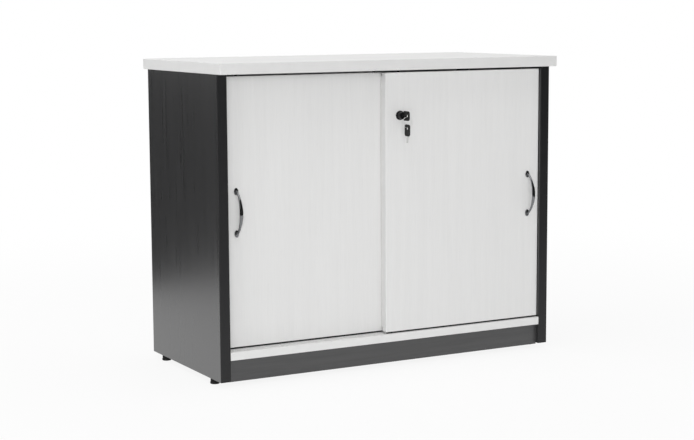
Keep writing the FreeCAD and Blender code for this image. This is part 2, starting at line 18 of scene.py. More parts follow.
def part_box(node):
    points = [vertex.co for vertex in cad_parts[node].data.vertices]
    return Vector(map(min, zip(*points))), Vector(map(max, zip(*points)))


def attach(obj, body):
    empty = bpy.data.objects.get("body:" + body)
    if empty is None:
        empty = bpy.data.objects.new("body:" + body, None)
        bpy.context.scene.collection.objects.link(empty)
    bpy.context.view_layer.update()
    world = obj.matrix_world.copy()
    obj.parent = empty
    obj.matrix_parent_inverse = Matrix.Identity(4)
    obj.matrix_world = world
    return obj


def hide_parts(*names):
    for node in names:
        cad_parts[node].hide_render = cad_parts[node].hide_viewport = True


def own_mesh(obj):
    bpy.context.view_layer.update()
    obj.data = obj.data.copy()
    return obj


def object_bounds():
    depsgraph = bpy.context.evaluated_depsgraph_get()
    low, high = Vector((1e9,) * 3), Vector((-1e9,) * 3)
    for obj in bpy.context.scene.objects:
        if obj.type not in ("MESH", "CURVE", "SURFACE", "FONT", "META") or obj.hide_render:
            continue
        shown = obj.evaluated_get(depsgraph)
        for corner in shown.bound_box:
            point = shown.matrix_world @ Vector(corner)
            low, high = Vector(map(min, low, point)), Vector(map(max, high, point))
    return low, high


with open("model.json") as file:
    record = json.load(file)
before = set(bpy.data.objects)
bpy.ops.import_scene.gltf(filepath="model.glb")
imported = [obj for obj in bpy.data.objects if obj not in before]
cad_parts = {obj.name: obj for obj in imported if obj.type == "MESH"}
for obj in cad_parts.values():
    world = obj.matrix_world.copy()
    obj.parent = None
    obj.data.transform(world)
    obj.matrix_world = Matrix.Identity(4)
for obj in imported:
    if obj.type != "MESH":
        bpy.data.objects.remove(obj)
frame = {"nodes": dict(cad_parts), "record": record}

drawn_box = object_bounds()
boards_and_fittings = frame["nodes"]
bpy.ops.object.select_all(action="DESELECT")
print(len(boards_and_fittings), "nodes between", *[tuple(corner) for corner in drawn_box])

# %% [markdown]
# ## Camera
#
# A photograph fixes a camera by the straight edges that it shows. Fitting those edges gave a place
# to the left of the cabinet, a little above its top, looking slightly down. A camera could be aimed
# with a Track To constraint, but a matrix also holds the small roll, so its three columns are the
# camera's right, up and backward directions.

# %% Camera
camera_place = Vector((-1.8967, -3.4201, 0.8446))
camera_yaw = math.radians(28.79)
camera_pitch = math.radians(7.463)
camera_roll = math.radians(-0.315)
lens_length = 83.30
film_width = 36.0

ahead = Vector((math.sin(camera_yaw), math.cos(camera_yaw), -math.tan(camera_pitch))).normalized()
level = Vector((math.cos(camera_yaw), -math.sin(camera_yaw), 0.0))
above = level.cross(ahead)
right = level * math.cos(camera_roll) + above * math.sin(camera_roll)
up = above * math.cos(camera_roll) - level * math.sin(camera_roll)

camera = bpy.data.objects.new("photo_camera", bpy.data.cameras.new("photo_camera"))
bpy.context.collection.objects.link(camera)
camera.data.lens = lens_length
camera.data.sensor_width = film_width
camera.matrix_world = Matrix.Translation(camera_place) @ Matrix((right, up, -ahead)).transposed().to_4x4()
bpy.context.scene.camera = camera
bpy.context.scene.view_settings.view_transform = "Standard"
cabinet_middle = (drawn_box[0] + drawn_box[1]) / 2
print("camera", round((camera_place - cabinet_middle).length, 2), "m from the middle")

# %% [markdown]
# ## White studio
#
# Furniture is often photographed on white paper under a bright, even sky. The world gives that even
# light. For rays that come straight from the camera, or by way of a mirror or glass, it is plain
# white; for the rays that carry soft light to the boards it is turned down a little, so that white
# boards keep their shading. Light Path tells these rays apart, and one helper serves the world and
# the floor. Four square soft boxes then give the light a direction. The largest stands in front, and
# the one behind is kept out of reflections, so that it leaves no glare on the top.

# %% Studio light
soft_light_share = 0.48
white = (1.0, 1.0, 1.0, 1.0)


def feed(tree, node, inputs):
    """Gives each named input of a node its value, or a link from the socket that stands for it."""
    for key, value in inputs.items():
        if isinstance(value, bpy.types.NodeSocket):
            tree.links.new(value, node.inputs[key])
        else:
            node.inputs[key].default_value = value


def add_node(tree, kind, inputs, output=0, **settings):
    """Adds a shader node with its settings and inputs, and returns one of its outputs."""
    made = tree.nodes.new("ShaderNode" + kind)
    for key, value in settings.items():
        setattr(made, key, value)
    feed(tree, made, inputs)
    return made.outputs[output]


def levels(tree, value, low, high, start=0.0, end=1.0, **settings):
    """Socket that goes from low to high while another goes from start to end."""
    inputs = {"Value": value, "From Min": start, "From Max": end, "To Min": low, "To Max": high}
    return add_node(tree, "MapRange", inputs, **settings)


def seen_directly(tree):
    """Socket that is 1 for rays from the camera, mirrors and glass, and 0 for soft light."""
    rays = tree.nodes.new("ShaderNodeLightPath").outputs
    seen = rays["Is Camera Ray"]
    for way in ("Is Glossy Ray", "Is Transmission Ray"):
        seen = add_node(tree, "Math", {0: seen, 1: rays[way]}, operation="MAXIMUM")
    return seen


studio = bpy.data.worlds.new("white_studio")
studio.use_nodes = True
bpy.context.scene.world = studio
tree = studio.node_tree
brightness = levels(tree, seen_directly(tree), soft_light_share, 1.0)
feed(tree, tree.nodes["Background"], {"Color": white, "Strength": brightness})
print("soft light", soft_light_share, "of white")

# %% Soft boxes
soft_boxes = (
    # name, place, width, watts, shows in reflections
    ("front_soft_box", (-2.2, -5.4, 0.6), 3.2, 170.0, True),
    ("left_soft_box", (-4.5, 0.6, 1.0), 2.4, 60.0, True),
    ("overhead_soft_box", (-0.4, -0.6, 3.4), 2.4, 32.0, True),
    ("rear_soft_box", (2.0, 4.6, 1.3), 2.4, 70.0, False),
)

for name, place, width, watts, reflected in soft_boxes:
    lamp = bpy.data.objects.new(name, bpy.data.lights.new(name, "AREA"))
    lamp.data.shape = "SQUARE"
    lamp.data.size = width
    lamp.data.energy = watts
    lamp.visible_camera = False
    lamp.visible_glossy = reflected
    aim = (cabinet_middle - Vector(place)).to_track_quat("-Z", "Y")
    lamp.matrix_world = Matrix.Translation(place) @ aim.to_matrix().to_4x4()
    bpy.context.collection.objects.link(lamp)
print("soft boxes:", [row[0] for row in soft_boxes])

# %% [markdown]
# ## Floor and black cards
#
# The floor is white paper. Near the cabinet it mixes its own shading with plain white, so a soft
# shadow stays; further out it is all white and has no horizon. Photographers stand black cards around
# shiny things, just out of view, because a mirror with nothing dark to show looks like paper. The
# cards here show only in reflections: they leave the light alone, darken the upper part of the
# charcoal sides, and give the chrome its dark line between floor and sky. The front one is turned a
# little, so that the two handles do not show it alike.

# %% Floor
floor_size = 60.0
paper_tone = (0.90, 0.90, 0.90, 1.0)
shadow_near = 0.7
shadow_far = 2.6
white_share_near = 0.88


def new_finish(name):
    """New material, with its node tree and its shader."""
    finish = bpy.data.materials.new(name)
    finish.use_nodes = True
    return finish, finish.node_tree, finish.node_tree.nodes["Principled BSDF"]


bpy.ops.mesh.primitive_plane_add(size=floor_size)
floor = bpy.context.object
floor.name = "floor"
paper, tree, unused_shader = new_finish("white_paper")
tree.nodes.remove(unused_shader)
spot = add_node(tree, "TexCoord", {}, "Object")
distance = add_node(tree, "VectorMath", {0: spot}, "Value", operation="LENGTH")
fade = levels(
    tree, distance, white_share_near, 1.0, shadow_near, shadow_far, interpolation_type="SMOOTHSTEP"
)
share = add_node(tree, "Math", {0: fade, 1: seen_directly(tree)}, operation="MULTIPLY")
shaded = add_node(tree, "BsdfDiffuse", {"Color": paper_tone})
plain_white = add_node(tree, "Emission", {"Color": white, "Strength": 1.0})
both = add_node(tree, "MixShader", {0: share, 1: shaded, 2: plain_white})
feed(tree, tree.nodes["Material Output"], {"Surface": both})
floor.data.materials.append(paper)
print("paper is all white", shadow_far, "m from the middle")

# %% Black cards
card_tone = (0.02, 0.02, 0.02, 1.0)
card_roughness = 0.9
cards = (
    # name, x, y, turn in degrees, width, height
    ("front_card", 0.0, -1.7, 12, 5.0, 2.3),
    ("left_card", -1.8, 0.4, 90, 4.0, 0.75),
    ("right_card", 1.8, 0.4, 90, 4.0, 0.75),
    ("rear_card", 0.0, 1.15, 0, 5.0, 0.75),
)

card_black, tree, shader = new_finish("card_black")
feed(tree, shader, {"Base Color": card_tone, "Roughness": card_roughness})
for name, x, y, turn, width, height in cards:
    bpy.ops.mesh.primitive_plane_add(
        size=1.0, location=(x, y, height / 2), rotation=(math.pi / 2, 0.0, math.radians(turn))
    )
    card = bpy.context.object
    card.name = name
    card.scale = (width, height, 1.0)
    for rays in ("camera", "diffuse", "shadow", "transmission"):
        setattr(card, "visible_" + rays, False)
    card.data.materials.append(card_black)
bpy.ops.object.select_all(action="DESELECT")

# %% [markdown]
# ## Melamine boards
#
# The boards are chipboard under a printed, slightly embossed melamine skin. Its figure runs one way:
# up the doors and sides, and along the top, base and shelf. Stretching a noise along one axis makes
# such streaks, and a second, finer one makes the short pores that the press leaves. Both read Object
# coordinates, which are metres here, so that the figure has one true scale on every board. The white
# boards need only a trace of it, and the charcoal ones a little more.

# %% Melamine
grain_stretch = 0.035
figure_noise = {"scale": 85.0, "detail": 5.0, "roughness": 0.62, "distortion": 0.5}
figure_range = (0.32, 0.68)
pore_noise = {"scale": 620.0, "detail": 2.0, "roughness": 0.5}
pore_range = (0.50, 0.66)
board_gloss_spread = 0.06
emboss_strength = 0.35
emboss_depth = 0.00015


def mottle(tree, stretch, scale, detail, roughness, distortion=0.0):
    """Noise on Object coordinates, drawn out along each axis whose stretch is small."""
    place = add_node(tree, "TexCoord", {}, "Object")
    noise = {"Scale": scale, "Detail": detail, "Roughness": roughness, "Distortion": distortion}
    noise["Vector"] = add_node(tree, "Mapping", {"Vector": place, "Scale": stretch})
    return add_node(tree, "TexNoise", noise)


def surface(tree, shader, tone, shade, gloss, height, strength, depth):
    """Gives a shader a tone that is scaled by a shade, a gloss, and a relief that follows a height."""
    colour = add_node(tree, "VectorMath", {0: tone, "Scale": shade}, operation="SCALE")
    relief = add_node(tree, "Bump", {"Strength": strength, "Distance": depth, "Height": height})
    feed(tree, shader, {"Base Color": colour, "Roughness": gloss, "Normal": relief})


def laminate(name, tone, contrast, pore_depth, grain_axis, roughness, ior=1.5):
    """Printed melamine, with its figure and pores drawn out along one axis."""
    finish, tree, shader = new_finish(name)
    shader.inputs["IOR"].default_value = ior
    stretch = [grain_stretch if axis == grain_axis else 1.0 for axis in "XYZ"]
    figure = mottle(tree, stretch, **figure_noise)
    pores = mottle(tree, stretch, **pore_noise)
    streaks = levels(tree, figure, 1.0 - contrast, 1.0 + contrast, *figure_range)
    dashes = levels(tree, pores, 1.0, 1.0 - pore_depth, *pore_range)
    shade = add_node(tree, "Math", {0: streaks, 1: dashes}, operation="MULTIPLY")
    gloss = levels(tree, figure, roughness - board_gloss_spread, roughness + board_gloss_spread)
    surface(tree, shader, tone, shade, gloss, dashes, emboss_strength, emboss_depth)
    return finish


white_tone = (0.775, 0.775, 0.770)
charcoal_tone = (0.027, 0.027, 0.028)
# The kickboard's charcoal is about twice as light as the sides': painted light, standing in for the light
# off the white floor that shows on the kick.
plinth_tone_painted_lighter = (0.058, 0.058, 0.059)
white_grain = {"contrast": 0.016, "pore_depth": 0.02, "roughness": 0.42}
side_grain = {"contrast": 0.20, "pore_depth": 0.06, "roughness": 0.29, "ior": 1.95}
plinth_grain = {"contrast": 0.14, "pore_depth": 0.06, "roughness": 0.34, "ior": 1.62}
white_upright = laminate("white_melamine_upright", white_tone, grain_axis="Z", **white_grain)
white_lengthwise = laminate("white_melamine_lengthwise", white_tone, grain_axis="X", **white_grain)
charcoal_upright = laminate("charcoal_melamine_upright", charcoal_tone, grain_axis="Z", **side_grain)
charcoal_lengthwise_painted_lighter = laminate(
    "charcoal_melamine_lengthwise_painted_lighter", plinth_tone_painted_lighter, grain_axis="X", **plinth_grain
)
melamines = (white_upright, white_lengthwise, charcoal_upright, charcoal_lengthwise_painted_lighter)
print("melamine:", [finish.name for finish in melamines])

# %% [markdown]
# ## Edging and moulded plastics
#
# The strips on the boards' edges and the tracks, feet, key heads and wheels are plastics that are
# coloured through. They have no printed figure, only a very fine pebbled skin from the roll or the
# mould, a faint unevenness of tone, and patches that are a shade glossier where they were handled.
# One helper makes them all, with a different tone, pebble size and gloss.

# %% Plastics
unstretched = (1.0, 1.0, 1.0)
pebble_noise = {"detail": 3.0, "roughness": 0.55}
pebble_strength = 0.3
patch_noise = {"scale": 38.0, "detail": 4.0, "roughness": 0.6}
patch_tone_spread = 0.04
patch_gloss_spread = 0.08


def moulded(name, tone, roughness, pebble_scale, pebble_height, sheen_level=0.5):
    """Plastic coloured through, with a fine pebbled skin."""
    finish, tree, shader = new_finish(name)
    shader.inputs["Specular IOR Level"].default_value = sheen_level
    pebbles = mottle(tree, unstretched, pebble_scale, **pebble_noise)
    patches = mottle(tree, unstretched, **patch_noise)
    shade = levels(tree, patches, 1.0 - patch_tone_spread, 1.0 + patch_tone_spread)
    gloss = levels(tree, patches, roughness - patch_gloss_spread, roughness + patch_gloss_spread)
    surface(tree, shader, tone, shade, gloss, pebbles, pebble_strength, pebble_height)
    return finish


# tone, roughness, pebble scale, pebble height, sheen level
white_strip = moulded("white_edge_strip", (0.785, 0.785, 0.780), 0.38, 900.0, 0.00006)
# The top's edging is the doors' white strip in a darker tone, 0.715 against 0.785: painted shade, which
# takes back the extra light that the top's edges catch.
top_strip_painted_shade = moulded("white_top_edge_strip_painted_shade", (0.715, 0.715, 0.710), 0.38, 900.0, 0.00006)
charcoal_strip = moulded("charcoal_edge_strip", (0.009, 0.009, 0.010), 0.44, 900.0, 0.00006, 0.45)
black_moulding = moulded("black_moulding", (0.006, 0.006, 0.006), 0.52, 1400.0, 0.00008, 0.25)
lock_enamel = moulded("lock_black_enamel", (0.006, 0.006, 0.007), 0.32, 1100.0, 0.00004, 0.3)
white_nylon = moulded("moulded_nylon", (0.82, 0.82, 0.81), 0.40, 700.0, 0.00005)
plastics = (white_strip, top_strip_painted_shade, charcoal_strip, black_moulding, lock_enamel, white_nylon)
print("plastics:", [finish.name for finish in plastics])

# %% [markdown]
# ## Metals and wood
#
# Chrome is a nearly perfect mirror, with faint smears that only the roughness shows. The handles'
# chrome is given a dark tone: painted dark reflection, which stands in for the dark surroundings that
# polished chrome would show. Turned and stamped steel carries fine lines from its tools, and cast zinc
# is mottled. All three are one metallic shader, with a noise that is stretched for the tool lines and
# left round for the smears and mottling.
# The dowels are beech, with short darker flecks along the rod.

# %% Metals
mark_noise = {"detail": 4.0, "roughness": 0.6}
mark_strength = 0.2
mark_gloss_share = 0.4
tool_lines = (1.0, 0.1, 1.0)


def metal(name, tone, roughness, unevenness, mark_scale, stretch, mark_height):
    """Bare metal whose gloss and surface follow the marks that its making left."""
    finish, tree, shader = new_finish(name)
    shader.inputs["Metallic"].default_value = 1.0
    marks = mottle(tree, stretch, mark_scale, **mark_noise)
    shade = levels(tree, marks, 1.0 - unevenness, 1.0 + unevenness)
    gloss = levels(tree, marks, roughness * (1.0 - mark_gloss_share), roughness * (1.0 + mark_gloss_share))
    surface(tree, shader, tone, shade, gloss, marks, mark_strength, mark_height)
    return finish


# tone, roughness, unevenness, mark scale, stretch, mark height
# The handles' chrome tone is 0.2, far darker than bright chrome: painted dark reflection, standing in for
# the dark surroundings that polished handles show.
dark_chrome = metal("chrome_darkened_painted_reflection", (0.20, 0.204, 0.212), 0.08, 0.05, 60.0, unstretched, 0.00001)
bright_steel = metal("worked_steel", (0.86, 0.86, 0.85), 0.34, 0.08, 900.0, tool_lines, 0.00003)
cast_zinc = metal("cast_zinc", (0.50, 0.51, 0.53), 0.42, 0.14, 420.0, unstretched, 0.00006)
beech_tone = (0.55, 0.37, 0.21)
beech_grain = {"contrast": 0.18, "pore_depth": 0.25, "roughness": 0.6}
beech = laminate("beech_dowel", beech_tone, grain_axis="X", **beech_grain)
print("metals and wood:", dark_chrome.name, bright_steel.name, cast_zinc.name, beech.name)

# %% [markdown]
# ## Finishes on the drawn pieces
#
# A drawn piece whose shape is right only needs a better material. The record of the drawing says
# which slot each piece has, so the slots are matched with the finishes above. Boards that lie flat
# get the version whose figure runs along them. The top's edging is a darker copy of the doors' white
# edging, as painted shade, and the kickboard is a lighter copy of the sides' charcoal, as painted light.

# %% Finishes
finish_of_slot = {
    "white_board": white_upright,
    "white_edging": white_strip,
    "charcoal_board": charcoal_upright,
    "charcoal_edging": charcoal_strip,
    "black_plastic": black_moulding,
    "white_nylon": white_nylon,
    "dark_chrome": dark_chrome,
    "black_lock": lock_enamel,
    "bright_steel": bright_steel,
    "zinc": cast_zinc,
    "beech": beech,
}
finish_of_node = {
    "top_panel": white_lengthwise,
    "top_edge_bands": top_strip_painted_shade,
    "base_panel": white_lengthwise,
    "shelf": white_lengthwise,
    "kickboard": charcoal_lengthwise_painted_lighter,
}
slot_of = {row["node"]: row["material_slot"] for row in frame["record"]["subparts"]}
for name, board in boards_and_fittings.items():
    finish = finish_of_node.get(name, finish_of_slot[slot_of[name]])
    board.data.materials.clear()
    board.data.materials.append(finish)
print("finishes on", len(slot_of), "drawn pieces")

# %% [markdown]
# ## Tools for modelling
#
# Every new piece below starts as a primitive and is shaped in edit mode. Short helpers keep that
# readable. The first ones add a block or a rod, put its place into its mesh and open it. Others select
# faces and edges by where they are and which way they look, extrude or bevel them, and close the piece
# with its doubles merged, its faces outward and its sharp edges kept. A second group handles whole
# pieces: it applies modifiers, cuts one piece with another, copies and joins. The last helper gives a
# piece its finish and ties it to the body that it moves with.

# %% Adding and selecting
same_place = 0.00001
facing_limit = 0.9
rod_turns = {"X": (0.0, math.pi / 2, 0.0), "Y": (math.pi / 2, 0.0, 0.0), "Z": (0.0, 0.0, 0.0)}


def open_piece(name):
    """Names the primitive just added, puts its place into its mesh and opens it for editing."""
    piece = bpy.context.object
    piece.name = name
    piece.data.name = name
    bpy.ops.object.transform_apply(location=True, rotation=True, scale=True)
    bpy.ops.object.mode_set(mode="EDIT")
    return piece


def block(name, size, place):
    """Adds a block round a place, and opens it."""
    bpy.ops.mesh.primitive_cube_add(size=1.0, location=place)
    bpy.context.object.scale = size
    return open_piece(name)


def rod(name, axis, start, end, radius, sides=64, through=(0.0, 0.0, 0.0)):
    """Adds a cylinder along X, Y or Z from start to end, on a line through a point, and opens it."""
    middle = Vector(through)
    middle["XYZ".index(axis)] = (start + end) / 2
    bpy.ops.mesh.primitive_cylinder_add(
        vertices=sides, radius=radius, depth=end - start, location=middle, rotation=rod_turns[axis]
    )
    return open_piece(name)


def along(vector, axis):
    """The X, Y or Z of a vector."""
    return vector["XYZ".index(axis)]


def span(edge, axis):
    """How far an edge reaches along an axis."""
    return abs(along(edge.verts[0].co, axis) - along(edge.verts[1].co, axis))


def lies_at(edge, axis, where):
    """Whether both ends of an edge are at a place on an axis."""
    return all(abs(along(v.co, axis) - where) < same_place for v in edge.verts)


def pick(kind, test):
    """Selects the faces, edges or verts that pass a test, and nothing else."""
    bpy.ops.mesh.select_mode(type={"faces": "FACE", "edges": "EDGE", "verts": "VERT"}[kind])
    bpy.ops.mesh.select_all(action="DESELECT")
    mesh = bpy.context.object.data
    shape = bmesh.from_edit_mesh(mesh)
    shape.normal_update()
    for part in getattr(shape, kind):
        if test(part):
            part.select_set(True)
    shape.select_flush_mode()
    bmesh.update_edit_mesh(mesh)


def pick_facing(axis, way, test=lambda middle: True):
    """Selects the faces that look along an axis (1) or against it (-1), if their middle passes a test."""
    pick("faces", lambda f: along(f.normal, axis) * way > facing_limit and test(f.calc_center_median()))


def pick_end(axis, where, way):
    """Selects the flat end that lies at a place on an axis and looks along or against it."""
    pick_facing(axis, way, lambda middle: abs(along(middle, axis) - where) < same_place)


print("two places are the same within", same_place, "m")

# %% Shaping and closing
merge_distance = 0.000004


def extrude(move):
    """Extrudes the selection by a vector."""
    bpy.ops.mesh.extrude_region_move(TRANSFORM_OT_translate={"value": move})


def bevel(offset, segments):
    """Rounds the selected edges, or slopes them with one segment."""
    bpy.ops.mesh.bevel(offset=offset, segments=segments, affect="EDGES")


def round_rim(axis, where, offset, segments):
    """Rounds the edges that lie at a place on an axis."""
    pick("edges", lambda e: lies_at(e, axis, where))
    bevel(offset, segments)


def close_piece(piece, sharp_angle=35.0):
    """Merges doubles, turns faces outward, and smooths all but the sharp edges."""
    bpy.ops.mesh.select_all(action="SELECT")
    bpy.ops.mesh.remove_doubles(threshold=merge_distance)
    bpy.ops.mesh.normals_make_consistent(inside=False)
    bpy.ops.object.mode_set(mode="OBJECT")
    bpy.ops.object.shade_smooth_by_angle(angle=math.radians(sharp_angle))
    return piece


print("corners merge within", merge_distance, "m")

# %% Whole pieces


def drawn(node):
    """Lowest and highest corner of a drawn node, and the point between them."""
    low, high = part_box(node)
    return low, high, (low + high) / 2


def use_alone(piece):
    """Makes a piece the only one that is selected."""
    bpy.ops.object.select_all(action="DESELECT")
    piece.select_set(True)
    bpy.context.view_layer.objects.active = piece


def apply_modifier(piece, kind, **settings):
    """Adds a modifier, sets it and applies it."""
    use_alone(piece)
    added = piece.modifiers.new(kind, kind)
    for key, value in settings.items():
        setattr(added, key, value)
    bpy.ops.object.modifier_apply(modifier=added.name)


def cut_away(piece, cutter):
    """Takes one mesh out of another, and removes the cutter."""
    bpy.ops.object.mode_set(mode="OBJECT")
    apply_modifier(piece, "BOOLEAN", operation="DIFFERENCE", object=cutter, solver="EXACT")
    bpy.data.objects.remove(cutter)


def copy_of(piece, name, place):
    """Copies a piece with its own mesh, and moves or turns the copy inside that mesh."""
    use_alone(piece)
    bpy.ops.object.duplicate()
    copy = bpy.context.object
    copy.name = name
    copy.data.name = name
    copy.matrix_world = place
    bpy.ops.object.transform_apply(location=True, rotation=True, scale=True)
    return copy


def join_pieces(pieces, name):
    """Makes several meshes one piece."""
    use_alone(pieces[0])
    for piece in pieces[1:]:
        piece.select_set(True)
    bpy.ops.object.join()
    pieces[0].name = name
    pieces[0].data.name = name
    return pieces[0]


def dress(piece, slot, body, *drawn_nodes):
    """Gives a piece its finish, ties it to its body, and hides the drawn nodes that it stands for."""
    piece.data.materials.clear()
    piece.data.materials.append(finish_of_slot[slot])
    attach(piece, body)
    if drawn_nodes:
        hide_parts(*drawn_nodes)
    print(piece.name, "has", len(piece.data.polygons), "faces and rides on", body)


print("helpers ready")

# %% [markdown]
# ## Bow handles
#
# A bow handle is a cast bar that swells in the middle and thins towards two small round feet. A bevelled
# curve would give it one thickness all along, so it is spun: an oval at the middle is swept up along
# the arch, and each ring is then resized. A second, tight spin turns the end into the door, and the
# last rings flare into the foot. The other half is a mirror image.

# %% Bow handle
doors = ("left_door", "right_door")
hole_spacing = 0.096
bow_middle = (0.0090, 0.0055)
bow_end = (0.0050, 0.0040)
bow_sides = 24
bow_steps = 18
turn_in_radius = 0.007
turn_in_steps = 6
foot_rise = 0.0040
foot_rings = (
    # step towards the door, half width, half height
    (0.0006, 0.0026, 0.0022),
    (0.0004, 0.0030, 0.0028),
    (0.0001, 0.0036, 0.0042),
    (0.00005, 0.0047, 0.0072),
    (0.00025, 0.0051, 0.0082),
    (0.0004, 0.0052, 0.0084),
    (0.0022, 0.0052, 0.0084),
)

low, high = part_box("left_door_handle")
crest = high.y - low.y - bow_middle[1] / 2
half_spacing = hole_spacing / 2
bow_turn = 2 * math.atan((crest - foot_rise - turn_in_radius) / (half_spacing - turn_in_radius))
bow_radius = (half_spacing - turn_in_radius) / math.sin(bow_turn) + turn_in_radius
bow_centre = bow_radius - crest

bpy.ops.mesh.primitive_circle_add(vertices=bow_sides, radius=1.0)
bow = open_piece("bow_handle")
bpy.ops.mesh.select_all(action="SELECT")
bpy.ops.transform.resize(value=(bow_middle[0] / 2, bow_middle[1] / 2, 1.0))
bpy.ops.transform.translate(value=(0.0, -crest, 0.0))
bpy.ops.mesh.spin(steps=bow_steps, angle=bow_turn, center=(0.0, bow_centre, 0.0), axis=(1.0, 0.0, 0.0))
for step in range(1, bow_steps + 1):
    turn = bow_turn * step / bow_steps
    swell_share = math.cos(step / bow_steps * math.pi / 2) ** 2
    width_share, thick_share = (
        (end + (middle - end) * swell_share) / middle for middle, end in zip(bow_middle, bow_end)
    )
    pick("verts", lambda v: abs(math.atan2(v.co.z, bow_centre - v.co.y) - turn) < bow_turn / bow_steps / 4)
    bpy.ops.transform.resize(
        value=(width_share, thick_share, thick_share),
        center_override=(0.0, bow_centre - bow_radius * math.cos(turn), bow_radius * math.sin(turn)),
    )
bpy.ops.mesh.spin(
    steps=turn_in_steps,
    angle=math.pi / 2 - bow_turn,
    center=(0.0, -foot_rise, half_spacing - turn_in_radius),
    axis=(1.0, 0.0, 0.0),
)
print("arch of", round(2 * math.degrees(bow_turn)), "degrees with a radius of", round(bow_radius, 4), "m")

# %% Handle feet
ring_y = -foot_rise
ring_size = (bow_end[0] / 2, bow_end[1] / 2)
for forward, half_wide, half_tall in foot_rings:
    bpy.ops.mesh.extrude_edges_move(TRANSFORM_OT_translate={"value": (0.0, forward, 0.0)})
    ring_y += forward
    bpy.ops.transform.resize(
        value=(half_wide / ring_size[0], 1.0, half_tall / ring_size[1]),
        center_override=(0.0, ring_y, half_spacing),
    )
    ring_size = (half_wide, half_tall)
bpy.ops.transform.edge_crease(value=1.0)
bpy.ops.mesh.edge_face_add()
bpy.ops.object.mode_set(mode="OBJECT")
apply_modifier(bow, "MIRROR", use_axis=(False, False, True), merge_threshold=merge_distance)
apply_modifier(bow, "SUBSURF", levels=1, render_levels=1)
bpy.ops.object.mode_set(mode="EDIT")
close_piece(bow, sharp_angle=50.0)
for door in doors:
    low, high, middle = drawn(door + "_handle")
    seat = Vector((middle.x, high.y, middle.z))
    handle = copy_of(bow, door + "_bow_handle", Matrix.Translation(seat))
    dress(handle, "dark_chrome", door, door + "_handle")
bpy.data.objects.remove(bow)

# %% [markdown]
# ## Handle screws
#
# Each handle is pulled against its door by two pan-head screws from behind. The head is a short
# cylinder with a generously bevelled rim, the shank grows out of its underside by inset and extrude,
# and a cross recess is cut with two crossed blocks. One screw serves as the pattern for all four.

# %% Handle screws
head_radius = 0.004
head_height = 0.0025
head_rounding = 0.001375
shank_radius = 0.002
shank_length = 0.023
screw_cross = (0.0046, 0.0012, 0.0011)


def cross_recess(piece, size, mouth, turn=Matrix()):
    """Cuts a cross of a length, depth and width, with its mouth at a point, facing the turned +Y."""
    length, depth, width = size
    for angle in (0.0, math.pi / 2):
        bpy.ops.mesh.primitive_cube_add(size=1.0)
        cutter = bpy.context.object
        arm = Matrix.Rotation(angle, 4, "Y") @ Matrix.Diagonal((length, 2 * depth, width, 1.0))
        cutter.matrix_world = Matrix.Translation(mouth) @ turn @ arm
        bpy.context.view_layer.update()
        cut_away(piece, cutter)


screw = rod("pan_head_screw", "Y", 0.0, head_height, head_radius, sides=32)
round_rim("Y", head_height, head_rounding, 4)
pick_end("Y", 0.0, -1)
bpy.ops.mesh.inset(thickness=head_radius - shank_radius)
extrude((0.0, -shank_length, 0.0))
close_piece(screw)
cross_recess(screw, screw_cross, (0.0, head_height, 0.0))
for door in doors:
    low, high, middle = drawn(door + "_handle_screws")
    pair = []
    for z in (low.z + head_radius, high.z - head_radius):
        seat = Vector((middle.x, high.y - head_height, z))
        pair.append(copy_of(screw, door + "_screw", Matrix.Translation(seat)))
    screws = join_pieces(pair, door + "_pan_head_screws")
    dress(screws, "bright_steel", door, door + "_handle_screws")
bpy.data.objects.remove(screw)

# %% [markdown]
# ## Push lock
#
# The lock is three turned pieces on one axis: a flange that sits on the door, a barrel that is pushed
# in, and the rotor that the key turns. Each starts as a cylinder along the axis. Insets mark out the
# rings on its face, extrudes sink or raise them, and bevels round the rims, which is how the real
# pieces come off a lathe. Only the bolt's hole and the keyway are cut.

# %% Lock flange
flange_thickness = 0.0025
flange_rounding = 0.0010
barrel_radius = 0.0085
bolt_radius = 0.0040
running_gap = 0.00005
sleeve_wall = 0.0015
end_wall = 0.002
drill_past = 0.001

low, high, lock_axis = drawn("lock_housing")
flange_radius = (high.x - low.x) / 2
flange_back = low.y + flange_thickness
sleeve_radius = barrel_radius + running_gap + sleeve_wall
sleeve_end = high.y - end_wall
flange = rod("lock_flange", "Y", low.y, flange_back, flange_radius, through=lock_axis)
round_rim("Y", low.y, flange_rounding, 4)
pick_end("Y", flange_back, 1)
bpy.ops.mesh.inset(thickness=flange_radius - sleeve_radius)
extrude((0.0, high.y - flange_back, 0.0))
pick_end("Y", low.y, -1)
bpy.ops.mesh.inset(thickness=flange_radius - flange_rounding - barrel_radius - running_gap)
extrude((0.0, sleeve_end - low.y, 0.0))
close_piece(flange)
hole_start, hole_end = sleeve_end - drill_past, high.y + drill_past
cut_away(flange, rod("bolt_hole", "Y", hole_start, hole_end, bolt_radius + running_gap, 32, lock_axis))
dress(flange, "black_lock", "right_door", "lock_housing")

# %% Lock barrel
barrel_rounding = 0.0012
bolt_rounding = 0.0005
face_step = 0.0010
face_sink = 0.00025
rotor_depth = 0.016

low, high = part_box("lock_barrel")
rotor_low, rotor_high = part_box("lock_rotor")
rotor_radius = (rotor_high.x - rotor_low.x) / 2
barrel_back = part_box("lock_spring")[0].y
barrel = rod("lock_push_barrel", "Y", low.y, barrel_back, barrel_radius, through=lock_axis)
pick_end("Y", barrel_back, 1)
bpy.ops.mesh.inset(thickness=barrel_radius - bolt_radius)
extrude((0.0, high.y - barrel_back, 0.0))
round_rim("Y", high.y, bolt_rounding, 2)
round_rim("Y", low.y, barrel_rounding, 4)
pick_end("Y", low.y, -1)
bpy.ops.mesh.inset(thickness=face_step)
extrude((0.0, face_sink, 0.0))
bpy.ops.mesh.inset(thickness=barrel_radius - barrel_rounding - face_step - rotor_radius - running_gap)
extrude((0.0, rotor_depth - face_sink, 0.0))
close_piece(barrel)
dress(barrel, "black_lock", "lock_plunger", "lock_barrel")

